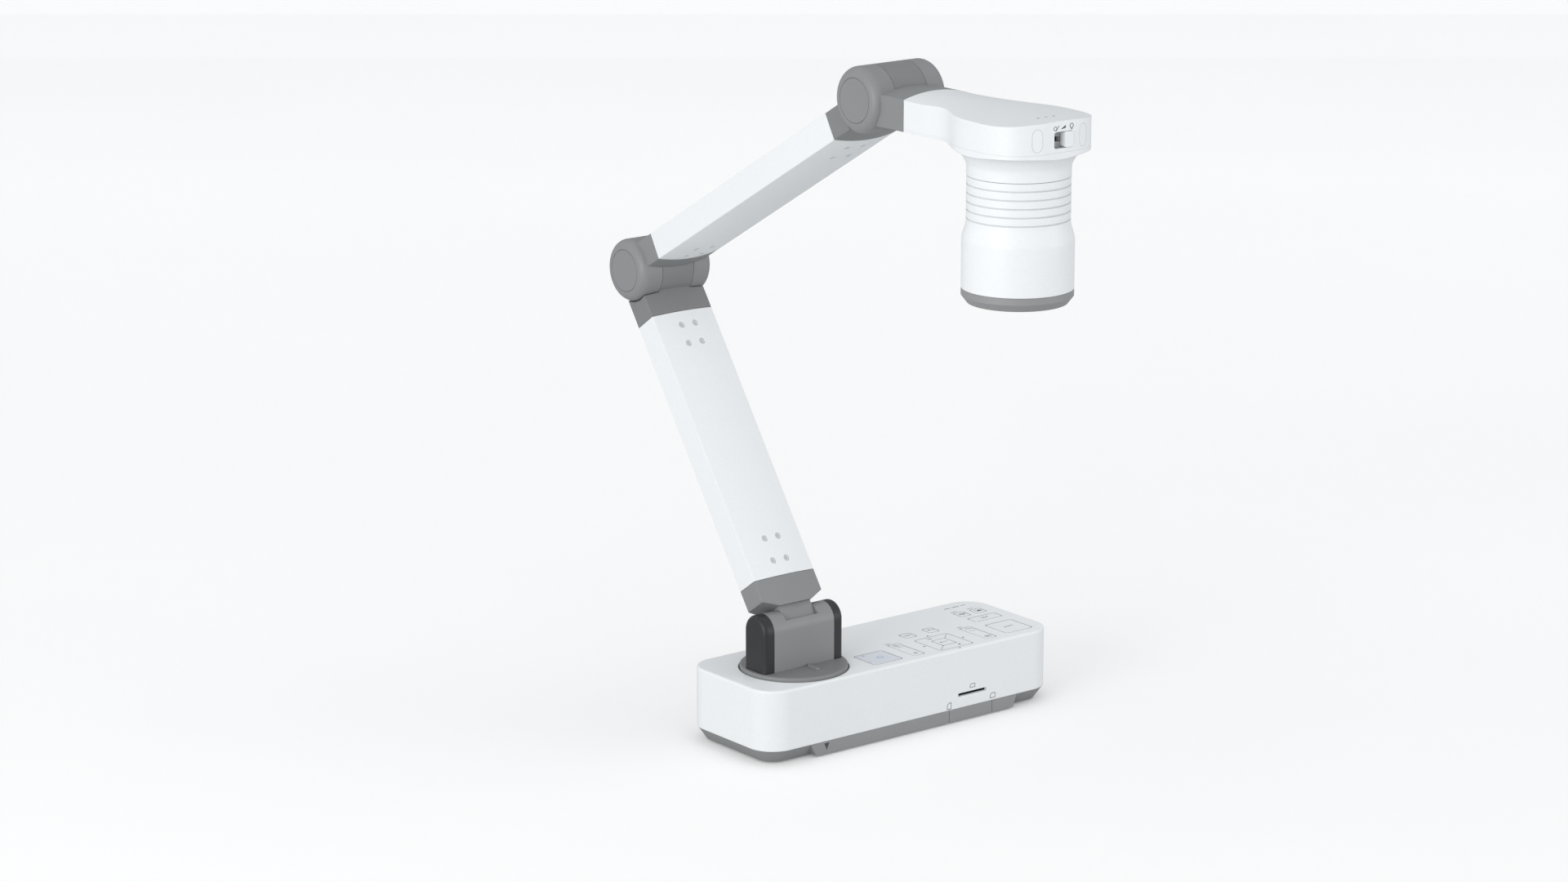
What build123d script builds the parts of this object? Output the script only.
"""Document camera: a flat base with keys, a turntable, two hinged arms and a camera head.

Millimetres.  The origin is the centre of the base on the table plane.  +X runs along the
base towards the keys, -Y is the front (card slot) and +Z is up; "left" means -X.
The arms, the head and the camera barrel are all centred on the swivel axis in X.
"""
from build123d import *
from collections import namedtuple
import math
import os

os.makedirs("parts", exist_ok=True)

# ------------------------------------------------------------------
# Driving dimensions
# ------------------------------------------------------------------
# base
pad_height = 1.2                # rubber pads stand this far below the tray
base_length, base_width, base_corner = 270.0, 96.3, 19.8
seam_z = 10.76                  # joint between tray and cover
tray_inset = 6.8                # inward chamfer of the tray
cover_top = 55.35
cover_thickness, wall = 3.0, 2.5
cover_under = cover_top - cover_thickness
back_y = base_width / 2
front_wall_y = -base_width / 2

# turntable and yoke
swivel_x, swivel_y = -77.66, -5.1
opening_radius, disc_radius = 40.1, 39.2
disc_under, disc_top = 52.5, 58.2
disc_thickness = disc_top - disc_under
hinge_z = 87.1                  # base hinge axis height
yoke_half, yoke_full, yoke_radius = 27.2, 36.0, 12.3    # half widths without and with caps
yoke_foot = disc_top - hinge_z  # yoke underside, from the hinge axis
slot_half, foot_half = 14.8, 14.3                       # yoke slot and the knuckle in it

# arms
lean = math.radians(35.0)       # lower arm leans back from vertical
rise = math.radians(29.9)       # upper arm rises from horizontal
arm_width, arm_edge_radius = 54.0, 0.6
arm_crown, under_crown = 2.2, 3.2
lower_thickness, upper_thickness = 20.2, 19.7
lower_length, lower_offset = 284.8, 5.48    # base hinge to elbow, tube line to elbow axis
upper_length, upper_offset, upper_shift = 309.66, 4.48, 8.02

# elbow and shoulder hinges, half widths from the swivel axis in X
barrel_radius, barrel_half, knuckle_half, ear_inner = 22.9, 32.0, 13.85, 14.15
ear_rim = 6.7                   # rounding of the barrel ends
neck_clear_radius = 23.7        # concave ends of the necks round the hinge barrels
cap_pocket_radius = 15.5
washer_pocket_radius, washer_pocket_depth = 12.1, 0.8
shaft_radius, fixed_bore, running_bore = 5.0, 5.02, 5.05

lower_dir = Vector(0, math.sin(lean), math.cos(lean))       # along the lower arm, upwards
lower_face = Vector(0, -math.cos(lean), math.sin(lean))     # out of its front face
upper_dir = Vector(0, -math.cos(rise), math.sin(rise))      # along the upper arm, forwards
upper_face = Vector(0, -math.sin(rise), -math.cos(rise))    # out of its underside
elbow_point = (
    Vector(swivel_x, swivel_y, hinge_z) + lower_dir * lower_length + lower_face * lower_offset
)
shoulder_point = elbow_point + upper_dir * upper_length - upper_face * upper_shift

# hinge axes as (y, z)
base_hinge = (swivel_y, hinge_z)
elbow = (elbow_point.Y, elbow_point.Z)
shoulder = (shoulder_point.Y, shoulder_point.Z)

# M3 screws of the base and yoke
head_radius, head_height = 2.8, 2.0
screw_radius, screw_length = 1.5, 8.0
clearance_hole, tapped_hole = 1.6, 1.52


# ------------------------------------------------------------------
# Planes and building blocks.  These add to, or cut from, the part that is open.
# ------------------------------------------------------------------
def level(z):
    """Horizontal plane at height z."""
    return Plane.XY.offset(z)


def yz(x, point=(0, 0)):
    """Plane at x, normal +X, local axes Y and Z, origin at the (y, z) point."""
    return Plane(origin=(x, point[0], point[1]), x_dir=(0, 1, 0), z_dir=(1, 0, 0))


def xz(y, x=0, z=0):
    """Plane at y, normal -Y, local axes X and Z."""
    return Plane(origin=(x, y, z), x_dir=(1, 0, 0), z_dir=(0, -1, 0))


def stamp(plane, amount, shape, *sizes, at=((0, 0),), mode=Mode.ADD):
    """Draw shape(*sizes) at each point of the plane and extrude it."""
    with BuildSketch(plane) as sketch:
        with Locations(*at):
            shape(*sizes)
    extrude(sketch.sketch, amount=amount, mode=mode)


def cut(plane, amount, shape, *sizes, at=((0, 0),)):
    """Like stamp, but removes material."""
    stamp(plane, amount, shape, *sizes, at=at, mode=Mode.SUBTRACT)


def upright_axis(y):
    return Axis((swivel_x, y, 0), (0, 0, 1))


def from_axis(profile):
    """Turn (radius, z) points into (x, z) points about the swivel axis."""
    return [(swivel_x + radius, z) for radius, z in profile]


def turned(y, profile):
    """Revolve a closed (radius, z) profile about the upright axis at y."""
    with BuildSketch(xz(y)) as sketch:
        with BuildLine():
            Polyline(*from_axis(profile), close=True)
        make_face()
    revolve(sketch.sketch, axis=upright_axis(y))


def base_outline(inset=0.0, mode=Mode.ADD):
    """Plan of the base, moved inwards by the inset."""
    RectangleRounded(
        base_length - 2 * inset, base_width - 2 * inset, base_corner - inset, mode=mode
    )


def ring(radius, bore):
    Circle(radius)
    Circle(bore, mode=Mode.SUBTRACT)


def hex_nut(radius, bore):
    RegularPolygon(radius, 6)
    Circle(bore, mode=Mode.SUBTRACT)


def frame(width, height, inner_width, inner_height):
    Rectangle(width, height)
    Rectangle(inner_width, inner_height, mode=Mode.SUBTRACT)


def along(part, direction):
    """Edges of the part that run in the given direction."""
    return part.edges().filter_by(lambda e: abs(e.tangent_at(0.5).dot(direction)) > 0.999)


def save(name, part):
    part.label = name
    export_step(part, f"parts/{name}.step")


# ------------------------------------------------------------------
# Key layout.  A box is (x0, x1, y0, y1).
# ------------------------------------------------------------------
key_gap = 0.70                  # clearance round a key
key_top = cover_top + 0.1
key_stem_z, key_stem_radius = 48.6, 1.8
flange_z, flange_thickness = 51.25, 1.0
key_split = 0.42                # each pad key is this much smaller all round
keys = {
    "power_key": (-30.6, -3.5, -39.6, -14.0),
    "menu_key": (29.5, 40.2, -3.1, 7.3),
    "escape_key": (52.0, 61.9, -3.1, 7.6),
    "freeze_key": (96.2, 122.2, -38.6, -12.5),
    "source_key": (97.0, 123.7, -2.6, 8.2),
    "aux_key_a": (97.0, 107.0, 13.8, 24.8),
    "aux_key_b": (112.6, 122.8, 13.9, 24.4),
}
rockers = {
    "zoom_rocker": (6.2, 17.0, -39.8, -8.0),
    "focus_rocker": (75.2, 86.0, -39.8, -8.0),
}
rocker_z = 50.0                 # tilt axis of the rockers
rocker_reach = 10.0             # rocker stems stand this far either side of its middle
pad_box = (29.6, 61.6, -42.0, -10.5)
enter_box = (39.5, 52.3, -32.9, -19.3)


def box_size(box):
    """Centre x, centre y, width and depth of a box."""
    x0, x1, y0, y1 = box
    return (x0 + x1) / 2, (y0 + y1) / 2, x1 - x0, y1 - y0


def opening_corner(width, depth):
    return 2.4 if min(width, depth) > 12 else 1.8


def pad_keys():
    """Direction keys round the enter key: name -> (corners, ledge centre, ledge size)."""
    left, right, front, back = pad_box
    in_left, in_right, in_front, in_back = enter_box
    centre_x, centre_y, width, depth = box_size(pad_box)
    ledge, inward, trim = 2.4, 0.4, 10
    across = (width - trim, ledge)
    upwards = (ledge, depth - trim)
    return {
        "up_key": (
            [(left, back), (right, back), (in_right, in_back), (in_left, in_back)],
            (centre_x, back - inward), across,
        ),
        "down_key": (
            [(left, front), (in_left, in_front), (in_right, in_front), (right, front)],
            (centre_x, front + inward), across,
        ),
        "left_key": (
            [(left, front), (left, back), (in_left, in_back), (in_left, in_front)],
            (left + inward, centre_y), upwards,
        ),
        "right_key": (
            [(right, front), (in_right, in_front), (in_right, in_back), (right, back)],
            (right - inward, centre_y), upwards,
        ),
    }


def corner_mean(corners):
    return sum(x for x, y in corners) / 4, sum(y for x, y in corners) / 4


def rocker_points(box):
    centre_x, centre_y = box_size(box)[:2]
    return [(centre_x, centre_y - rocker_reach), (centre_x, centre_y + rocker_reach)]


switch_points = [box_size(box)[:2] for box in keys.values()]
switch_points += [corner_mean(corners) for corners, centre, size in pad_keys().values()]
switch_points.append(box_size(enter_box)[:2])
for rocker_box in rockers.values():
    switch_points += rocker_points(rocker_box)

# ------------------------------------------------------------------
# Places inside the base
# ------------------------------------------------------------------
case_screws = [(x, y) for x in (-122.0, 122.0) for y in (-33.0, 33.0)]
plate_screws = [(x, y) for x in (-8.0, 76.0) for y in (-24.0, 24.0)]
tray_screws = case_screws + plate_screws
board_posts = [(x, y) for x in (-30.0, 104.0) for y in (-28.0, 28.0)]
key_posts = [(-20.0, 34.0), (84.0, 34.0), (23.0, -32.0), (90.8, -32.0)]
pedestal_screws = [
    (swivel_x + 25 * math.cos(math.radians(a)), swivel_y + 25 * math.sin(math.radians(a)))
    for a in (45, 135, 225, 315)
]
pads = [(0, 0), (-100, -28), (-100, 28), (100, -28), (100, 28)]
yoke_screws = [(swivel_x + x, swivel_y + y) for x in (-22.5, 22.5) for y in (-4.5, 4.5)]

board_z, board_thickness = 15.4, 1.6
board_top = board_z + board_thickness
key_board_z = 43.4
key_board_top = key_board_z + board_thickness
ballast_bottom, ballast_top = 5.2, 11.2
pedestal_flange = 3.0
case_boss_z = 5.3               # lower end of the case screw bosses in the cover

card_x, card_z, card_width, card_height = 55.05, 20.5, 27.1, 2.5    # card slot

# Rear panel openings: kind -> (width, height, socket size, pin size).
# A size is (radius,), (width, height) or empty.
port_kinds = {
    "dc": (9.4, 9.4, (3.2,), (1.0,)),
    "usb_b": (12.2, 10.9, (8.6, 7.9), (5.6, 3.0)),
    "usb_a": (13.4, 6.4, (11.4, 4.4), (10.6, 1.4)),
    "hdmi": (15.4, 5.6, (13.4, 3.6), (10.8, 1.0)),
    "mic": (6.6, 6.6, (1.8,), ()),
}
port_places = [
    ("dc", -22.0), ("usb_b", -2.0), ("usb_a", 20.0), ("hdmi", 44.0), ("hdmi", 66.0),
    ("mic", 86.0),
]
port_gap = 0.3                  # between a connector and its opening


def port_point(kind, x):
    """Centre of a port; its connector stands on the main board."""
    return x, board_top + 0.02 + port_kinds[kind][1] / 2 - port_gap


def port_outline(kind, inset, corner):
    width, height = port_kinds[kind][:2]
    if kind in ("dc", "mic"):
        Circle(width / 2 - inset)
    else:
        RectangleRounded(width - 2 * inset, height - 2 * inset, corner)


def sized_shape(size):
    """Circle for (radius,), rectangle for (width, height), nothing if empty."""
    if len(size) == 1:
        Circle(*size)
    elif size:
        Rectangle(*size)


# ------------------------------------------------------------------
# Base
# ------------------------------------------------------------------
def make_base_top_cover():
    case_boss_top = 40.0
    rib_z, rib_x, rib_size = 14.0, 128.0, (11.0, 2.4)
    lug_z, lug_size, lug_out = 47.4, (2.4, 7.0), 1.9
    bury = 0.5                  # bosses run this far into the top wall
    with BuildPart() as cover:
        stamp(level(seam_z), cover_top - seam_z, base_outline)
        fillet(cover.edges().group_by(Axis.Z)[-1], radius=1.6)
        cut(level(seam_z), cover_under - seam_z, base_outline, wall)
        # openings for the turntable and the keys
        with BuildSketch(level(cover_under - 1)):
            with Locations((swivel_x, swivel_y)):
                Circle(opening_radius)
            for box in [*keys.values(), *rockers.values(), pad_box]:
                centre_x, centre_y, width, depth = box_size(box)
                with Locations((centre_x, centre_y)):
                    RectangleRounded(width, depth, opening_corner(width, depth))
        extrude(amount=cover_thickness + 2, mode=Mode.SUBTRACT)
        # bosses and ribs for the case screws, posts for the key board
        stamp(level(case_boss_z), case_boss_top - case_boss_z, Circle, 4.0, at=case_screws)
        ribs = [(math.copysign(rib_x, x), y) for x, y in case_screws]
        stamp(level(rib_z), case_boss_top - rib_z, Rectangle, *rib_size, at=ribs)
        stamp(level(key_board_top), cover_under - key_board_top + bury, Circle, 3.0, at=key_posts)
        # lugs that carry the rocker trunnions
        for box in rockers.values():
            centre_y, width = box_size(box)[1:3]
            lugs = [(box[0] - lug_out, centre_y), (box[1] + lug_out, centre_y)]
            stamp(level(lug_z), cover_under - lug_z + bury, Rectangle, *lug_size, at=lugs)
            cut(yz(box[0] - 4, (centre_y, rocker_z)), width + 8, Circle, 1.26)
        cut(level(case_boss_z), 8.0, Circle, tapped_hole, at=case_screws)
        cut(level(key_board_top), 7.4, Circle, tapped_hole, at=key_posts)
        # memory-card slot in the front wall
        cut(xz(front_wall_y + wall + 1), wall + 2, RectangleRounded, card_width, card_height, 0.5,
            at=[(card_x, card_z)])
        # rear panel openings and the lock slot
        with BuildSketch(xz(back_y + 1)):
            for kind, x in port_places:
                with Locations(port_point(kind, x)):
                    port_outline(kind, 0.0, 0.8)
            with Locations((112.0, 26.0)):
                RectangleRounded(7.0, 3.0, 1.2)
        extrude(amount=wall + 2, mode=Mode.SUBTRACT)
    save("base_top_cover", cover.part)


def make_base_tray():
    floor, rim_inset, floor_inset = 2.5, 2.6, 7.6
    lip_z, lip_height, lip_outer, lip_inner = 9.4, 3.8, 2.62, 4.2
    guide = [(-96.2, seam_z), (98.1, seam_z), (94.6, pad_height), (-91.0, pad_height)]
    mark = [(-83.9, 9.2), (-79.1, 9.2), (-81.5, 3.9)]
    boss_z = pad_height + 1
    with BuildPart() as tray:
        with BuildSketch(level(pad_height)):
            base_outline(tray_inset)
        with BuildSketch(level(seam_z)):
            base_outline()
        loft(ruled=True)
        with BuildSketch(level(pad_height + floor)):
            base_outline(floor_inset)
        with BuildSketch(level(seam_z)):
            base_outline(rim_inset)
        loft(ruled=True, mode=Mode.SUBTRACT)
        # lip that locates the cover
        with BuildSketch(level(lip_z)):
            base_outline(lip_outer)
            base_outline(lip_inner, mode=Mode.SUBTRACT)
        extrude(amount=lip_height)
        # paper guide ridge, flush with the front face
        with BuildSketch(xz(front_wall_y + tray_inset + 3.0)):
            with BuildLine():
                Polyline(*guide, close=True)
            make_face()
        extrude(amount=tray_inset + 3.0)
        # page marks on the guide: two grooves and a triangle
        with BuildSketch(xz(front_wall_y + 0.4)):
            with Locations((33.0, 6.0), (74.2, 6.0)):
                Rectangle(0.5, 12.0)
            with BuildLine():
                Polyline(*mark, close=True)
            make_face()
        extrude(amount=1.0, mode=Mode.SUBTRACT)
        # bosses: case screws, ballast screws, board posts
        stamp(level(boss_z), ballast_bottom - boss_z, Circle, 5.0, at=tray_screws)
        stamp(level(boss_z), board_z - boss_z, Circle, 3.0, at=board_posts)
        # screw head recesses and holes
        cut(level(pad_height), 2.2, Circle, 3.0, at=tray_screws)
        cut(level(pad_height), 6.0, Circle, clearance_hole, at=tray_screws)
        cut(level(8.6), 10.0, Circle, tapped_hole, at=board_posts)
        # pockets for the rubber pads
        cut(level(pad_height), 0.8, Circle, 7.1, at=pads)
    save("base_tray", tray.part)


def make_rubber_feet():
    with BuildPart() as feet:
        stamp(level(0), pad_height + 0.8, Circle, 7.0, at=pads)
        fillet(feet.edges().group_by(Axis.Z)[0], radius=0.4)
    save("rubber_feet", feet.part)


def make_ballast_plate():
    with BuildPart() as plate:
        with BuildSketch(level(ballast_bottom)):
            RectangleRounded(224, 68, 6)
            with Locations(*board_posts):
                Circle(3.6, mode=Mode.SUBTRACT)
            with Locations(*plate_screws, *pedestal_screws):
                Circle(tapped_hole, mode=Mode.SUBTRACT)
        extrude(amount=ballast_top - ballast_bottom)
    save("ballast_plate", plate.part)


def make_base_screws():
    """Identical M3 x 8 screws; direction is +1 where the shank points up."""
    groups = (
        # points, underside of the head, direction
        (tray_screws, 1.4, 1),                                      # case and ballast plate
        (pedestal_screws, ballast_top + pedestal_flange, -1),       # pedestal
        (board_posts, board_top, -1),                               # main board
        (key_posts, key_board_z - head_height, 1),                  # key board
    )
    with BuildPart() as screws:
        for points, bottom, direction in groups:
            top = bottom + head_height
            shank_z, socket_z = (top, bottom) if direction > 0 else (bottom, top)
            stamp(level(bottom), head_height, Circle, head_radius, at=points)
            stamp(level(shank_z), direction * screw_length, Circle, screw_radius, at=points)
            cut(level(socket_z), direction * 1.0, RegularPolygon, 1.3, 6, at=points)
    save("base_screws", screws.part)


def make_swivel_bearing():
    """Pedestal on the ballast plate, its bush, and the spindle and nut that turn in it."""
    flange_top = ballast_top + pedestal_flange
    bush_radius, seat_z = 8.0, 48.0
    bore = bush_radius + 0.01
    with BuildPart() as pedestal:
        turned(swivel_y, [
            (19, ballast_top), (28, ballast_top), (28, flange_top), (22, flange_top),
            (22, seat_z), (bore, seat_z), (bore, 44.0), (19, 44.0),
        ])
        cut(level(ballast_top), pedestal_flange, Circle, clearance_hole, at=pedestal_screws)
    save("swivel_pedestal", pedestal.part)

    with BuildPart() as bush:
        turned(swivel_y, [
            (6.05, 43.6), (bush_radius, 43.6), (bush_radius, seat_z), (20, seat_z),
            (20, 49.5), (6.05, 49.5),
        ])
    save("swivel_bush", bush.part)

    with BuildPart() as spindle:
        turned(swivel_y, [
            (3, 34.0), (6, 34.0), (6, 49.6), (15, 49.6), (15, disc_under), (3, disc_under),
        ])
    save("swivel_spindle", spindle.part)

    with BuildPart() as nut:
        stamp(level(37.4), 6.0, hex_nut, 9.2, 6.01, at=[(swivel_x, swivel_y)])
    save("swivel_nut", nut.part)


def make_main_board():
    with BuildPart() as board:
        with BuildSketch(level(board_z)):
            with Locations((38.0, 1.0)):
                RectangleRounded(148.0, 80.0, 3.0)
            with Locations(*board_posts):
                Circle(clearance_hole, mode=Mode.SUBTRACT)
        extrude(amount=board_thickness)
        # processor, memory and power parts
        with BuildSketch(level(board_top)):
            with Locations((20.0, 0.0)):
                Rectangle(24, 24)
            with Locations((50.0, 6.0), (50.0, -12.0)):
                Rectangle(12, 9)
            with Locations((-18.0, 8.0)):
                Rectangle(12, 16)
        extrude(amount=2.2)
    save("main_board", board.part)


def make_card_socket():
    with BuildPart() as socket:
        stamp(level(board_top), 6.4, Rectangle, 30.0, 26.0, at=[(card_x, -31.6)])
        cut(xz(-20.0), 30.0, Rectangle, 24.6, 2.3, at=[(card_x, card_z)])
    save("card_socket", socket.part)


def make_rear_connectors():
    body_back, body_depth, socket_floor = 46.6, 14.0, 38.6
    pin_back, pin_length = 45.0, 9.0
    with BuildPart() as connectors:
        with BuildSketch(xz(body_back)):
            for kind, x in port_places:
                with Locations(port_point(kind, x)):
                    port_outline(kind, port_gap, 0.5)
        extrude(amount=body_depth)
        with BuildSketch(xz(body_back + 1)):
            for kind, x in port_places:
                with Locations(port_point(kind, x)):
                    sized_shape(port_kinds[kind][2])
        extrude(amount=body_back + 1 - socket_floor, mode=Mode.SUBTRACT)
        # pins and tongues inside the sockets
        with BuildSketch(xz(pin_back)):
            for kind, x in port_places:
                with Locations(port_point(kind, x)):
                    sized_shape(port_kinds[kind][3])
        extrude(amount=pin_length)
    save("rear_connectors", connectors.part)


# ------------------------------------------------------------------
# Keys and their board
# ------------------------------------------------------------------
def make_key(name, box):
    """Plain key: flange under the cover, cap in the opening, stem over the switch."""
    centre_x, centre_y, width, depth = box_size(box)
    centre = [(centre_x, centre_y)]
    cap_z = 52.0
    with BuildPart() as key:
        stamp(level(flange_z), flange_thickness, RectangleRounded, width + 1.6, depth + 1.6, 2.0,
              at=centre)
        stamp(level(cap_z), key_top - cap_z, RectangleRounded, width - 2 * key_gap,
              depth - 2 * key_gap, opening_corner(width, depth) - key_gap, at=centre)
        fillet(key.edges().group_by(Axis.Z)[-1], radius=0.3)
        stamp(level(key_stem_z), 3.0, Circle, key_stem_radius, at=centre)
    save(name, key.part)


def make_pad_key(name, corners, ledge_centre, ledge_size):
    """One of the four direction keys, a mitred segment of the pad."""
    pad_x, pad_y, width, depth = box_size(pad_box)
    corner = opening_corner(width, depth) - key_gap
    with BuildPart() as key:
        with BuildSketch(level(flange_z)):
            with BuildLine():
                Polyline(*corners, close=True)
            make_face()
            offset(amount=-key_split, kind=Kind.INTERSECTION)
            with Locations((pad_x, pad_y)):
                RectangleRounded(
                    width - 2 * key_gap, depth - 2 * key_gap, corner, mode=Mode.INTERSECT
                )
        extrude(amount=key_top - flange_z)
        fillet(key.edges().group_by(Axis.Z)[-1], radius=0.2)
        # retaining ledge that reaches under the cover on the outer side
        stamp(level(flange_z), flange_thickness, Rectangle, *ledge_size, at=[ledge_centre])
        stamp(level(key_stem_z), 3.0, Circle, key_stem_radius, at=[corner_mean(corners)])
    save(name, key.part)


def make_enter_key():
    centre_x, centre_y, width, depth = box_size(enter_box)
    centre = [(centre_x, centre_y)]
    collar_z = 49.0
    with BuildPart() as key:
        stamp(level(flange_z), key_top - flange_z, RectangleRounded, width - 2 * key_split,
              depth - 2 * key_split, 1.0, at=centre)
        fillet(key.edges().group_by(Axis.Z)[-1], radius=0.2)
        stamp(level(collar_z), 3.0, Circle, 3.0, at=centre)
        # collar that stops the key under the four direction keys
        stamp(level(collar_z), 1.2, Rectangle, width + 3, 4.0, at=centre)
        stamp(level(key_stem_z), 1.0, Circle, key_stem_radius, at=centre)
    save("enter_key", key.part)


def make_rocker(name, box):
    centre_x, centre_y, width, depth = box_size(box)
    centre = [(centre_x, centre_y)]
    cap_z, web_z, trunnion_out = 50.4, 48.8, 2.6
    with BuildPart() as rocker:
        stamp(level(cap_z), key_top - cap_z, RectangleRounded, width - 2 * key_gap,
              depth - 2 * key_gap - 0.1, opening_corner(width, depth) - key_gap, at=centre)
        fillet(rocker.edges().group_by(Axis.Z)[-1], radius=0.3)
        stamp(level(web_z), 2.0, Rectangle, width - 2.4, 3.0, at=centre)
        stamp(level(key_stem_z), 2.4, Circle, key_stem_radius, at=rocker_points(box))
        trunnion = yz(box[0] - trunnion_out, (centre_y, rocker_z))
        stamp(trunnion, width + 2 * trunnion_out, Circle, 1.2)
    save(name, rocker.part)


def make_key_board():
    outline = [(-34, -41.8), (124, -41.8), (124, 38), (-34, 38)]
    switch_size, switch_height = 5.2, 1.8
    button_radius, button_height = 1.6, 0.8
    with BuildPart() as board:
        with BuildSketch(level(key_board_z)):
            with BuildLine():
                Polyline(*outline, close=True)
            make_face()
            with Locations(*key_posts):
                Circle(clearance_hole, mode=Mode.SUBTRACT)
        extrude(amount=board_thickness)
        # tact switches, one under each key and two under each rocker
        stamp(level(key_board_top), switch_height, Rectangle, switch_size, switch_size,
              at=switch_points)
        stamp(level(key_board_top + switch_height), button_height, Circle, button_radius,
              at=switch_points)
    save("key_board", board.part)


# ------------------------------------------------------------------
# Turntable and yoke
# ------------------------------------------------------------------
def make_turntable_disc():
    swivel = [(swivel_x, swivel_y)]
    with BuildPart() as disc:
        stamp(level(disc_under), disc_thickness, Circle, disc_radius, at=swivel)
        fillet(disc.edges().group_by(Axis.Z)[-1], radius=1.5)
        # index bar in front of the yoke, lying along Y
        stamp(level(disc_top - 0.5), 2.0, SlotOverall, 13.0, 3.6, 90,
              at=[(swivel_x + 3.0, swivel_y - 19.2)])
        fillet(disc.edges().group_by(Axis.Z)[-1], radius=0.7)
        cut(level(disc_under), disc_thickness, Circle, 3.0, at=swivel)
        cut(level(disc_under), disc_thickness, Circle, clearance_hole, at=yoke_screws)
    save("turntable_disc", disc.part)


def arch(radius, foot):
    """Upright profile with a half-round top about the local origin, down to the foot."""
    with BuildLine() as outline:
        Line((-radius, foot), (-radius, 0))
        ThreePointArc((-radius, 0), (0, radius), (radius, 0))
        Line((radius, 0), (radius, foot))
        Line((radius, foot), (-radius, foot))
    make_face(outline.edges())


def make_yoke_housing():
    swivel = [(swivel_x, swivel_y)]
    with BuildPart() as housing:
        stamp(yz(swivel_x - yoke_half, base_hinge), 2 * yoke_half, arch, yoke_radius, yoke_foot)
        # slot for the knuckle: round pocket, open over the top and down the back
        with BuildSketch(yz(swivel_x - slot_half, base_hinge)):
            Circle(9.9)
            with Locations((2.0, 7.0)):
                Rectangle(22.8, 14.0)
            with Locations((6.7, -3.6)):
                Rectangle(13.4, 12.0)
            with Locations((-8.0, 10.75)):
                Rectangle(12.0, 6.5)
        extrude(amount=2 * slot_half, mode=Mode.SUBTRACT)
        # hollow below the pocket
        cut(level(disc_top + 3.0), 13.0, Rectangle, 36.0, 16.0, at=swivel)
        # centre hole and screw holes in the floor
        cut(level(disc_top), 6.6, Circle, 3.0, at=swivel)
        cut(level(disc_top), 6.6, Circle, tapped_hole, at=yoke_screws)
        cut(yz(swivel_x - yoke_half, base_hinge), 2 * yoke_half, Circle, fixed_bore)
    save("yoke_housing", housing.part)


def make_yoke_cap(name, outward):
    """Hollow end cap of the yoke; outward is -1 for the left and +1 for the right."""
    end_wall, side_wall, floor = 2.0, 2.2, 1.6
    inner_x = swivel_x + outward * yoke_half
    outer_x = swivel_x + outward * yoke_full
    with BuildPart() as cap:
        stamp(yz(min(inner_x, outer_x), base_hinge), yoke_full - yoke_half, arch,
              yoke_radius, yoke_foot)
        outer_edges = cap.edges().group_by(Axis.X)[0 if outward < 0 else -1]
        fillet(outer_edges.filter_by(lambda e: e.center().Z > disc_top + 1), radius=3.6)
        cut(yz(outer_x - outward * end_wall, base_hinge), -outward * yoke_full, arch,
            yoke_radius - side_wall, yoke_foot + floor)
    save(name, cap.part)


def make_yoke_screws():
    with BuildPart() as screws:
        stamp(level(disc_under - head_height), head_height, Circle, head_radius, at=yoke_screws)
        stamp(level(disc_under), 10.0, Circle, screw_radius, at=yoke_screws)
    save("yoke_screws", screws.part)


def make_base_hinge():
    """Hinge bolt with its washers and lock nut, hidden by the end caps."""
    shaft_half, hex_radius, play = 31.0, 7.6, 0.03
    with BuildPart() as shaft:
        stamp(yz(swivel_x - shaft_half, base_hinge), 2 * shaft_half, Circle, shaft_radius)
        stamp(yz(swivel_x - 31.6, base_hinge), 4.3, RegularPolygon, hex_radius, 6)
    save("base_hinge_shaft", shaft.part)

    with BuildPart() as washers:
        for x in (swivel_x - slot_half + play, swivel_x + foot_half + play):
            stamp(yz(x, base_hinge), slot_half - foot_half - 2 * play, ring, 8.6, running_bore)
        stamp(yz(swivel_x + yoke_half + 0.02, base_hinge), 3.4, hex_nut, hex_radius, fixed_bore)
    save("base_hinge_washers", washers.part)


# ------------------------------------------------------------------
# Features shared by both arms.
# Distances along an arm are measured from the elbow axis in the arm's direction.
# ------------------------------------------------------------------
# section:      plane across the arm; its local y points away from the screw face
# direction:    along the arm
# screw_face:   plane touching the crowned face with the screws; local y runs along the arm
# thickness:    of the straight sides
# offset:       local y of the tube centre in the section plane
# low_crown:    bulge of the screw face
# elbow_screws, far_screws: (x, distance) in the screw face
Arm = namedtuple(
    "Arm", "section direction screw_face thickness offset low_crown elbow_screws far_screws"
)


def arm_frame(direction, face, thickness, tube_offset, crown, half_pitch, elbow_at, far_at):
    touching = elbow_point + face * (thickness / 2 + crown - tube_offset)
    return Arm(
        section=Plane(origin=elbow_point, x_dir=(1, 0, 0), z_dir=direction),
        direction=direction,
        screw_face=Plane(origin=touching, x_dir=(1, 0, 0), z_dir=face),
        thickness=thickness,
        offset=tube_offset,
        low_crown=crown,
        elbow_screws=[(x, s) for x in (-half_pitch, half_pitch) for s in elbow_at],
        far_screws=[(x, s) for x in (-half_pitch, half_pitch) for s in far_at],
    )


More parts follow.
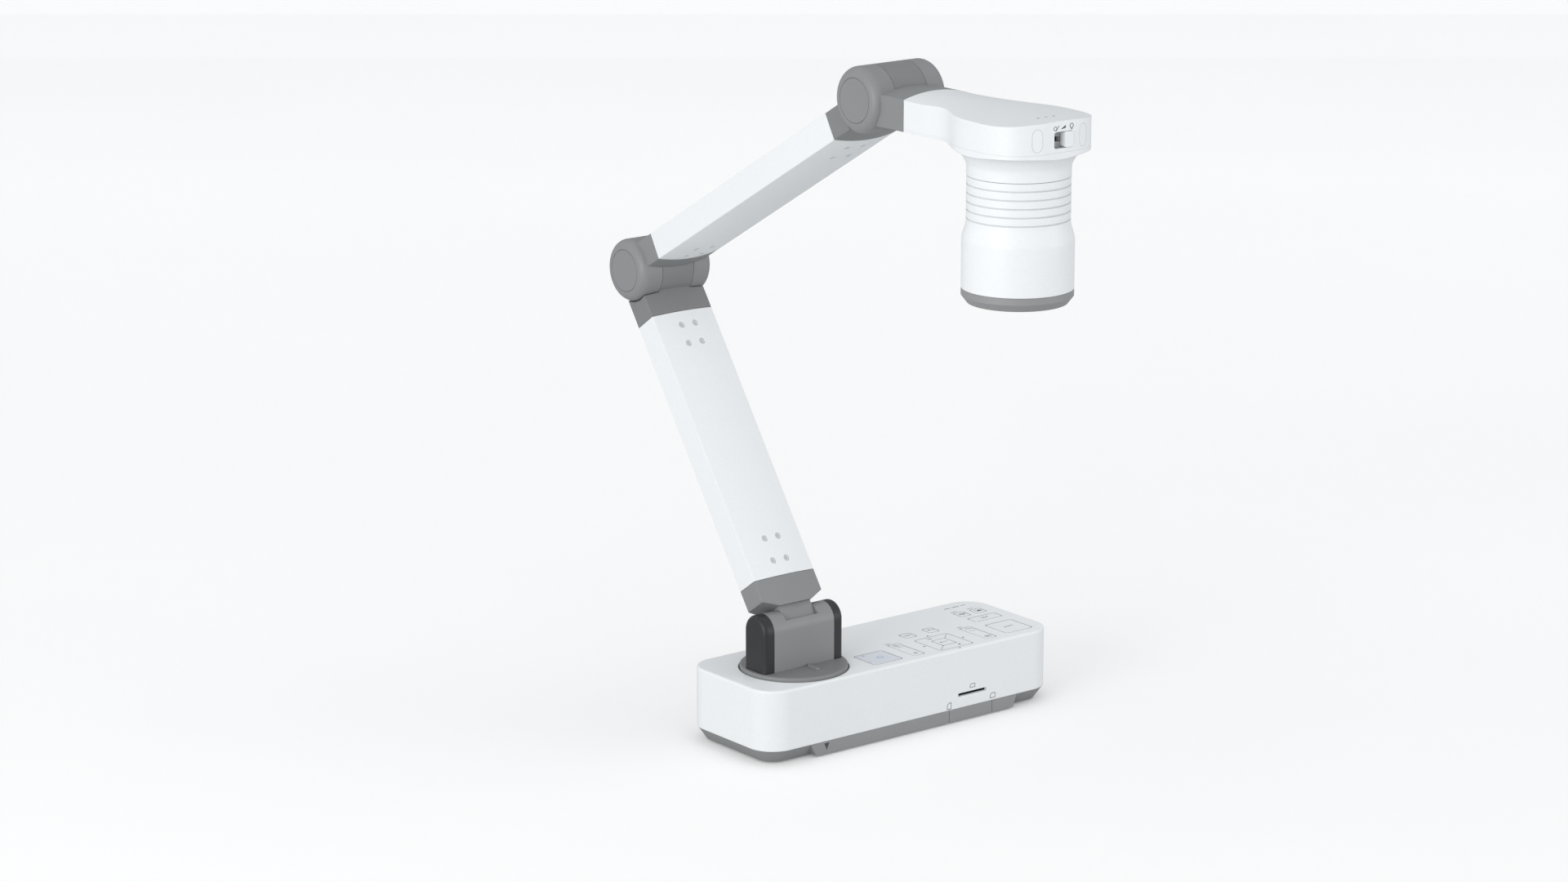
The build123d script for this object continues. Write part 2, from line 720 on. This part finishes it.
lower_arm = arm_frame(
    lower_dir, lower_face, lower_thickness, lower_offset, arm_crown,
    half_pitch=6.0, elbow_at=(-50.8, -65.6), far_at=(-221.5, -238.9),
)
upper_arm = arm_frame(
    upper_dir, upper_face, upper_thickness, upper_offset, under_crown,
    half_pitch=6.8, elbow_at=(43.1, 57.3), far_at=(237.9, 256.3),
)
bore_width, bore_inset = 49.2, 4.6          # tube bore; inset is off the arm thickness
spigot_width, spigot_inset = 48.8, 5.0      # spigots inside the tubes
wire_way = (24.0, 8.0)                      # opening through the spigots


def crowned(thickness, centre_y, low_crown, high_crown):
    """Arm section: straight sides, crowned faces, centred on local y = centre_y."""
    half, low, high = arm_width / 2, centre_y - thickness / 2, centre_y + thickness / 2
    with BuildLine() as outline:
        Line((-half, low), (-half, high))
        ThreePointArc((-half, high), (0, high + high_crown), (half, high))
        Line((half, high), (half, low))
        ThreePointArc((half, low), (0, low - low_crown), (-half, low))
    make_face(outline.edges())


def arm_body(part, arm, start, length):
    """Length of the solid arm section with its long edges eased."""
    stamp(arm.section.offset(start), length, crowned, arm.thickness, arm.offset,
          arm.low_crown, arm_crown)
    fillet(along(part, arm.direction), radius=arm_edge_radius)


def spigot(arm, start, length):
    stamp(arm.section.offset(start), length, frame, spigot_width, arm.thickness - spigot_inset,
          *wire_way, at=[(0, arm.offset)])


def spigot_screw_holes(arm, points):
    cut(arm.screw_face.offset(-2), -9.0, Circle, 1.27, at=points)


def make_arm_tube(name, arm, start, length, bore_start, bore_length):
    screws = arm.elbow_screws + arm.far_screws
    with BuildPart() as tube:
        arm_body(tube, arm, start, length)
        cut(arm.section.offset(bore_start), bore_length, Rectangle, bore_width,
            arm.thickness - bore_inset, at=[(0, arm.offset)])
        cut(arm.screw_face, -1.5, Circle, 2.3, at=screws)
        cut(arm.screw_face, -6.0, Circle, 1.4, at=screws)
    save(name, tube.part)


def make_arm_screws(name, arm):
    head_depth, head_thickness = 0.55, 0.9      # the heads are sunk below the crown
    points = arm.elbow_screws + arm.far_screws
    head_plane = arm.screw_face.offset(-head_depth)
    with BuildPart() as screws:
        stamp(head_plane, -head_thickness, Circle, 2.15, at=points)
        stamp(arm.screw_face.offset(-head_depth - head_thickness), -8.0, Circle, 1.25, at=points)
        cut(head_plane, -0.5, RegularPolygon, 1.1, 6, at=points)
    save(name, screws.part)


# ------------------------------------------------------------------
# Features shared by elbow and shoulder
# ------------------------------------------------------------------
def make_hinge_hardware(name, hinge):
    """Bolt with a hex head on the left, washers with a lock nut on the right, and caps."""
    shank_half, hex_radius, cap_thickness = 28.4, 8.0, 2.6
    with BuildPart() as bolt:
        stamp(yz(swivel_x - shank_half, hinge), 2 * shank_half, Circle, shaft_radius)
        stamp(yz(swivel_x - 28.7, hinge), 3.9, RegularPolygon, hex_radius, 6)
    save(name + "_bolt", bolt.part)

    with BuildPart() as washers:
        for x in (swivel_x - 14.9, swivel_x + 13.1):
            stamp(yz(x, hinge), 1.8, ring, 12.0, running_bore)
        stamp(yz(swivel_x + 24.8, hinge), 3.6, hex_nut, hex_radius, fixed_bore)
    save(name + "_washers", washers.part)

    with BuildPart() as caps:
        for x in (swivel_x - barrel_half, swivel_x + barrel_half - cap_thickness):
            stamp(yz(x, hinge), cap_thickness, Circle, cap_pocket_radius - 0.25)
    save(name + "_caps", caps.part)


def ears(hinge):
    """Two solid fork ears with rounded outer rims."""
    y, z = hinge
    arc_inset = ear_rim * (1 - math.sqrt(0.5))
    for side in (-1, 1):
        inner, outer = side * ear_inner, side * barrel_half
        rim_start = (outer, barrel_radius - ear_rim)
        rim_end = (side * (barrel_half - ear_rim), barrel_radius)
        with BuildSketch(xz(y, swivel_x, z)) as ear:
            with BuildLine() as outline:
                Line((inner, 0), (outer, 0))
                Line((outer, 0), rim_start)
                ThreePointArc(
                    rim_start,
                    (side * (barrel_half - arc_inset), barrel_radius - arc_inset),
                    rim_end,
                )
                Line(rim_end, (inner, barrel_radius))
                Line((inner, barrel_radius), (inner, 0))
            make_face(outline.edges())
        revolve(ear.sketch, axis=Axis((swivel_x, y, z), (1, 0, 0)))


def ear_clearance(hinge):
    """Concave middle of a fork that clears the knuckle."""
    cut(yz(swivel_x - ear_inner, hinge), 2 * ear_inner, Circle, neck_clear_radius)


def ear_pockets(hinge):
    """Cap, bolt-head and washer pockets in the ears, and the bolt bore."""
    pockets = (
        # x from the swivel axis, radius, depth
        (-barrel_half, cap_pocket_radius, 2.8),
        (-barrel_half, 9.2, 8.0),
        (barrel_half - 2.8, cap_pocket_radius, 2.8),
        (barrel_half - 8.0, 9.2, 8.0),
        (-ear_inner - washer_pocket_depth, washer_pocket_radius, washer_pocket_depth),
        (ear_inner, washer_pocket_radius, washer_pocket_depth),
    )
    for x, radius, depth in pockets:
        cut(yz(swivel_x + x, hinge), depth, Circle, radius)
    cut(yz(swivel_x - 35, hinge), 70, Circle, fixed_bore)


def make_knuckle(name, arm, hinge, neck, spigot_span, screws):
    """Arm end with a barrel between the fork ears; neck and span are (start, length)."""
    left, right = swivel_x - knuckle_half, swivel_x + knuckle_half
    with BuildPart() as knuckle:
        arm_body(knuckle, arm, *neck)
        # concave ends clear the fork ears
        for x in (swivel_x - 40, right):
            cut(yz(x, hinge), 40 - knuckle_half, Circle, neck_clear_radius)
        stamp(yz(left, hinge), 2 * knuckle_half, Circle, barrel_radius)
        for x in (left, right - washer_pocket_depth):
            cut(yz(x, hinge), washer_pocket_depth, Circle, washer_pocket_radius)
        spigot(arm, *spigot_span)
        cut(yz(swivel_x - 20, hinge), 40, Circle, running_bore)
        spigot_screw_holes(arm, screws)
    save(name, knuckle.part)


# ------------------------------------------------------------------
# Arm ends with their own shape
# ------------------------------------------------------------------
def make_lower_arm_foot():
    # (x, distance) of the waste at the right lower corner of the neck
    corner = [(27.1, -266.7), (foot_half, -272.3), (foot_half, -274), (28, -274), (28, -266.7)]
    behind = elbow_point - lower_face * (lower_offset + 15)
    with BuildPart() as foot:
        # neck below the tube, its lower corners cut off at a slant
        arm_body(foot, lower_arm, -272.3, 21.5)
        with BuildSketch(Plane(origin=behind, x_dir=(1, 0, 0), z_dir=lower_face)):
            for side in (-1, 1):
                with BuildLine():
                    Polyline(*[(side * x, s) for x, s in corner], close=True)
                make_face()
        extrude(amount=30.0, mode=Mode.SUBTRACT)
        # knuckle in the yoke and the web that joins it to the neck
        stamp(yz(swivel_x - foot_half, base_hinge), 2 * foot_half, Circle, 9.6)
        stamp(lower_arm.section.offset(-lower_length), lower_length - 272.0, Rectangle,
              2 * foot_half, 18.4, at=[(0, lower_offset)])
        spigot(lower_arm, -252, 40.0)
        cut(yz(swivel_x - 20, base_hinge), 40, Circle, running_bore)
        spigot_screw_holes(lower_arm, lower_arm.far_screws)
    save("lower_arm_foot", foot.part)


def make_elbow_fork():
    with BuildPart() as fork:
        arm_body(fork, upper_arm, 6.0, 31.4)
        ears(elbow)
        ear_clearance(elbow)
        spigot(upper_arm, 36.0, 32.0)
        ear_pockets(elbow)
        spigot_screw_holes(upper_arm, upper_arm.elbow_screws)
    save("elbow_fork", fork.part)


# ------------------------------------------------------------------
# Head
# ------------------------------------------------------------------
neck_low, neck_high = shoulder_point.Z - 15.5, shoulder_point.Z + 6.2   # neck side faces
neck_crown = 3.8
neck_spigot_z = 481.2
head_back_y = shoulder_point.Y - 46.1       # head shells start here
head_bottom, head_seam = 469.4, 471.0
barrel_y = swivel_y - 237.7                 # camera barrel axis

# Half plan of the head, from the neck to the front: (half width, y from the swivel axis)
head_side = [
    (27.0, -172.0), (26.5, -184.0), (27.6, -194.5), (31.4, -204.5),
    (36.4, -214.5), (39.6, -225.0), (41.1, -238.0), (41.2, -252.0),
    (37.8, -264.4), (30.2, -273.2), (19.6, -277.4), (0.0, -278.6),
]
head_front_y = swivel_y + head_side[-1][1]

# Top surface: (y, half width, crown over that width, z at that width)
head_stations = [
    (head_back_y, 27.0, 3.8, neck_high),
    (swivel_y - 180.0, 27.0, 3.8, neck_high - 0.15),
    (swivel_y - 206.0, 33.0, 3.3, neck_high - 0.3),
    (swivel_y - 230.0, 40.4, 3.0, neck_high - 0.7),
    (swivel_y - 254.0, 41.3, 2.8, neck_high - 1.2),
    (swivel_y - 284.0, 41.3, 2.5, neck_high - 1.7),
]

slider_x, slider_z = swivel_x + 2.1, shoulder_point.Z - 5.55
slider_width, slider_height = 16.0, 10.9
knob_x, knob_width = swivel_x + 6.2, 6.8


def make_shoulder_fork():
    with BuildPart() as fork:
        stamp(xz(shoulder_point.Y - 6.0, swivel_x), 39.8, crowned, neck_high - neck_low,
              (neck_high + neck_low) / 2, 0.8, neck_crown)
        fillet(along(fork, Vector(0, 1, 0)), radius=arm_edge_radius)
        ears(shoulder)
        ear_clearance(shoulder)
        # spigot inside the head shells
        stamp(xz(shoulder_point.Y - 44.0, swivel_x), 30.0, frame, 46.0, 13.0, 24.0, 7.0,
              at=[(0, neck_spigot_z)])
        ear_pockets(shoulder)
    save("shoulder_fork", fork.part)


def head_outline(inset=0.0):
    """Plan of the head: straight neck, waist, then the round-cornered front."""
    points = []
    last = len(head_side) - 1
    for k, (x, y) in enumerate(head_side):
        if k == 0:
            normal_x, normal_y = 1.0, 0.0
        elif k == last:
            normal_x, normal_y = 0.0, -1.0
        else:
            run_x = head_side[k + 1][0] - head_side[k - 1][0]
            run_y = head_side[k + 1][1] - head_side[k - 1][1]
            run = math.hypot(run_x, run_y)
            normal_x, normal_y = -run_y / run, run_x / run
        points.append((x - normal_x * inset, y - normal_y * inset))
    left = [(swivel_x - x, swivel_y + y) for x, y in points]
    right = [(swivel_x + x, swivel_y + y) for x, y in points][::-1]
    back_left = (left[0][0], head_back_y - inset)
    back_right = (right[-1][0], head_back_y - inset)
    with BuildLine() as outline:
        Line(back_left, left[0])
        Spline(left, tangents=[(0, -1), (1, 0)])
        Spline(right, tangents=[(1, 0), (0, 1)])
        Line(right[-1], back_right)
        Line(back_right, back_left)
    make_face(outline.edges())


def make_head_top_shell():
    half_span = 50.0            # the lofted block is wider than the head
    slider = [(slider_x, slider_z)]
    with BuildPart() as shell:
        # crowned upper surface, lofted from the neck to the front
        for y, half_width, crown, z in head_stations:
            radius = (half_width ** 2 + crown ** 2) / (2 * crown)
            edge_z = z + crown - radius + math.sqrt(radius ** 2 - half_span ** 2)
            with BuildSketch(xz(y, swivel_x)):
                with BuildLine():
                    Line((-half_span, head_seam), (-half_span, edge_z))
                    ThreePointArc((-half_span, edge_z), (0, z + crown), (half_span, edge_z))
                    Line((half_span, edge_z), (half_span, head_seam))
                    Line((half_span, head_seam), (-half_span, head_seam))
                make_face()
        loft()
        stamp(level(head_seam), 40.0, head_outline, mode=Mode.INTERSECT)
        cut(level(head_seam), 16.8, head_outline, 2.4)
        # open the neck end for the spigot
        cut(xz(head_back_y + 1), 8.0, Rectangle, 46.4, 13.4, at=[(swivel_x, neck_spigot_z)])
        # slider well: a thick pad behind the front wall, then the recess and its slit
        stamp(xz(head_front_y + 7.0), 5.0, Rectangle, slider_width + 4, slider_height + 4,
              at=slider)
        cut(xz(head_front_y + 4.4), 8.0, RectangleRounded, slider_width, slider_height, 1.6,
            at=slider)
        cut(xz(head_front_y + 9.0), 6.0, Rectangle, slider_width - 3.0, 3.6, at=slider)
    save("head_top_shell", shell.part)


def make_lamp_slider():
    knob = [(knob_x, slider_z)]
    with BuildPart() as slider:
        stamp(xz(head_front_y + 4.2), 5.6, RectangleRounded, knob_width, slider_height - 0.5, 1.4,
              at=knob)
        fillet(slider.edges().group_by(Axis.Y)[0], radius=0.6)
        # neck through the slit
        stamp(xz(head_front_y + 10.0), 7.0, Rectangle, 3.4, 3.2, at=knob)
        # tongue that keeps the knob in its well
        stamp(xz(head_front_y + 9.6), 2.4, Rectangle, 5.0, 7.0, at=knob)
    save("lamp_slider", slider.part)


def make_head_bottom_shell():
    # (radius, z) round the profile: top edge, flared skirt, then the collar
    top_edge = [(27.0, head_seam), (48.0, head_seam), (48.0, head_bottom - 0.8)]
    flare = [
        (48.0, head_bottom - 0.8), (43.2, head_bottom - 1.9), (38.4, head_bottom - 4.8),
        (35.5, head_bottom - 9.2), (34.6, head_bottom - 14.2),
    ]
    collar = [
        (34.6, head_bottom - 14.2), (34.6, 450.95), (32.2, 450.95), (32.2, 464.0),
        (29.5, 464.0), (29.5, 441.0), (27.0, 441.0), (27.0, head_seam),
    ]
    barrel = [(swivel_x, barrel_y)]
    with BuildPart() as shell:
        with BuildSketch(xz(barrel_y)):
            with BuildLine():
                Polyline(*from_axis(top_edge))
                Spline(*from_axis(flare), tangents=[(-1, -0.12), (0, -1)])
                Polyline(*from_axis(collar))
            make_face()
        revolve(axis=upright_axis(barrel_y))
        # trim the flare to the plan of the head, leaving the collar whole
        with BuildSketch(level(430.0)):
            head_outline()
            with Locations(*barrel):
                Circle(36.0)
        extrude(amount=60.0, mode=Mode.INTERSECT)
        stamp(level(head_bottom), head_seam - head_bottom, head_outline)
        cut(level(400.0), 90.0, Circle, 27.0, at=barrel)
    save("head_bottom_shell", shell.part)


# ------------------------------------------------------------------
# Camera barrel
# ------------------------------------------------------------------
groove_heights = [445.26, 439.4, 433.7, 428.0, 422.3]
grip_radius, skirt_radius = 34.5, 37.4
bezel_top, bezel_edge, bezel_bottom = 375.4, 370.6, 365.7
window_z = 368.4                            # ledge in the bezel
mask_z = 372.0                              # underside of the mask plate
sensor_z = 430.1                            # underside of the sensor board
lamp = (swivel_x, barrel_y + 21.5)


def make_barrel_retainer():
    with BuildPart() as retainer:
        turned(barrel_y, [
            (25.2, 447.0), (25.2, 438.4), (31.6, 438.4), (31.6, 440.8), (26.9, 440.8),
            (26.9, 447.0),
        ])
    save("barrel_retainer", retainer.part)


def make_barrel_shell():
    # (radius, z) round the profile: grip, flare, then the skirt and the inside
    barrel_top = 450.65
    grip = [(32.2, barrel_top), (grip_radius, barrel_top), (grip_radius, 421.4)]
    flare = [(grip_radius, 421.4), (35.9, 414.4), (skirt_radius, 407.6)]
    inside = [
        (skirt_radius, 407.6), (skirt_radius, bezel_top), (35.0, bezel_top), (35.0, 408.0),
        (32.2, 419.0), (32.2, 440.9), (29.6, 440.9), (29.6, 443.6), (32.2, 443.6),
        (32.2, barrel_top),
    ]
    with BuildPart() as shell:
        with BuildSketch(xz(barrel_y)):
            with BuildLine():
                Polyline(*from_axis(grip))
                Spline(*from_axis(flare), tangents=[(0, -1), (0.05, -1)])
                Polyline(*from_axis(inside))
            make_face()
            for z in groove_heights:
                with Locations((swivel_x + grip_radius, z)):
                    Rectangle(1.1, 0.85, mode=Mode.SUBTRACT)
        revolve(axis=upright_axis(barrel_y))
    save("barrel_shell", shell.part)


def make_barrel_bezel():
    shoulder_z = bezel_top - 0.2
    with BuildPart() as bezel:
        turned(barrel_y, [
            (32.0, 380.4), (34.9, 380.4), (34.9, shoulder_z), (skirt_radius, shoulder_z),
            (skirt_radius, bezel_edge), (33.6, bezel_bottom), (31.4, bezel_bottom),
            (31.4, window_z), (33.0, window_z), (33.0, 370.6), (32.0, 370.6),
        ])
    save("barrel_bezel", bezel.part)


def make_front_window():
    with BuildPart() as window:
        stamp(level(window_z + 0.05), 2.0, Circle, 32.9, at=[(swivel_x, barrel_y)])
    save("front_window", window.part)


def make_lens_tube():
    """Zoom lens barrel on a round mask plate with a hole for the lamp."""
    with BuildPart() as tube:
        with BuildSketch(level(mask_z)):
            with Locations((swivel_x, barrel_y)):
                Circle(31.9)
                Circle(13.0, mode=Mode.SUBTRACT)
            with Locations(lamp):
                Circle(4.0, mode=Mode.SUBTRACT)
        extrude(amount=2.0)
        turned(barrel_y, [
            (13.0, mask_z), (16.0, mask_z), (16.0, 404.0), (19.0, 408.0), (19.0, 430.0),
            (10.0, 430.0), (10.0, 427.0), (14.6, 427.0), (14.6, 406.0), (12.6, 402.0),
            (12.6, 384.0), (11.6, 384.0), (11.6, 380.0), (13.0, 376.0),
        ])
    save("lens_tube", tube.part)


def on_axis_arc(axis_z, rim_z, rim_radius):
    """Arc from the optical axis to the rim whose centre lies on the axis."""
    sag = rim_z - axis_z
    radius = (rim_radius * rim_radius + sag * sag) / (2 * abs(sag))
    half = math.asin(rim_radius / radius) / 2
    middle = (
        swivel_x + radius * math.sin(half),
        axis_z + math.copysign(radius * (1 - math.cos(half)), sag),
    )
    return (swivel_x, axis_z), middle, (swivel_x + rim_radius, rim_z)


def make_lens_elements():
    lenses = (
        # bottom z, rim radius, lower sag, upper sag, thickness on the axis
        (384.2, 12.5, 2.6, 1.2, 5.6),
        (394.0, 12.5, 1.8, 1.0, 4.4),
        (412.0, 14.5, 2.4, 1.4, 5.4),
    )
    with BuildPart() as elements:
        for bottom, radius, low_sag, high_sag, thickness in lenses:
            top = bottom + thickness
            low_rim, high_rim = bottom + low_sag, top - high_sag
            with BuildSketch(xz(barrel_y)):
                with BuildLine():
                    ThreePointArc(*on_axis_arc(bottom, low_rim, radius))
                    Line((swivel_x + radius, low_rim), (swivel_x + radius, high_rim))
                    ThreePointArc(*on_axis_arc(top, high_rim, radius))
                    Line((swivel_x, top), (swivel_x, bottom))
                make_face()
            revolve(axis=upright_axis(barrel_y))
    save("lens_elements", elements.part)


def make_sensor_board():
    barrel = [(swivel_x, barrel_y)]
    with BuildPart() as board:
        stamp(level(sensor_z), board_thickness, Circle, 22.0, at=barrel)
        # sensor below, two components on top
        stamp(level(sensor_z), -2.0, Rectangle, 11.0, 9.0, at=barrel)
        stamp(level(sensor_z + board_thickness), 2.5, Rectangle, 8.0, 6.0,
              at=[(swivel_x + 8, barrel_y), (swivel_x - 8, barrel_y + 3)])
    save("sensor_board", board.part)


def make_lamp_led():
    led_z = mask_z + 2.1        # just above the mask plate
    with BuildPart() as led:
        stamp(level(led_z), 1.6, RectangleRounded, 12.0, 8.0, 1.0, at=[lamp])
        stamp(level(led_z), -1.6, Circle, 2.6, at=[lamp])
        fillet(led.edges().group_by(Axis.Z)[0], radius=1.2)
    save("lamp_led", led.part)


# ------------------------------------------------------------------
# Build every piece
# ------------------------------------------------------------------
# base
make_base_top_cover()
make_base_tray()
make_rubber_feet()
make_ballast_plate()
make_base_screws()
make_swivel_bearing()
make_main_board()
make_card_socket()
make_rear_connectors()

# keys
for key_name, key_box in keys.items():
    make_key(key_name, key_box)
for key_name, pad_entry in pad_keys().items():
    make_pad_key(key_name, *pad_entry)
make_enter_key()
for rocker_name, rocker_box in rockers.items():
    make_rocker(rocker_name, rocker_box)
make_key_board()

# turntable and yoke
make_turntable_disc()
make_yoke_housing()
make_yoke_cap("yoke_cap_left", outward=-1)
make_yoke_cap("yoke_cap_right", outward=1)
make_yoke_screws()
make_base_hinge()

# arms
make_arm_tube("lower_arm_tube", lower_arm, start=-250.5, length=210.3,
              bore_start=-251, bore_length=212.0)
make_lower_arm_foot()
make_knuckle("elbow_knuckle", lower_arm, elbow, neck=(-39.9, 34.7),
             spigot_span=(-39, -41.0), screws=lower_arm.elbow_screws)
make_arm_screws("lower_arm_screws", lower_arm)
make_elbow_fork()
make_hinge_hardware("elbow", elbow)
make_arm_tube("upper_arm_tube", upper_arm, start=37.7, length=232.5,
              bore_start=37, bore_length=234.0)
make_knuckle("shoulder_knuckle", upper_arm, shoulder, neck=(270.5, 33.0),
             spigot_span=(272, -42.0), screws=upper_arm.far_screws)
make_arm_screws("upper_arm_screws", upper_arm)

# head and camera barrel
make_shoulder_fork()
make_hinge_hardware("shoulder", shoulder)
make_head_top_shell()
make_lamp_slider()
make_head_bottom_shell()
make_barrel_retainer()
make_barrel_shell()
make_barrel_bezel()
make_front_window()
make_lens_tube()
make_lens_elements()
make_sensor_board()
make_lamp_led()
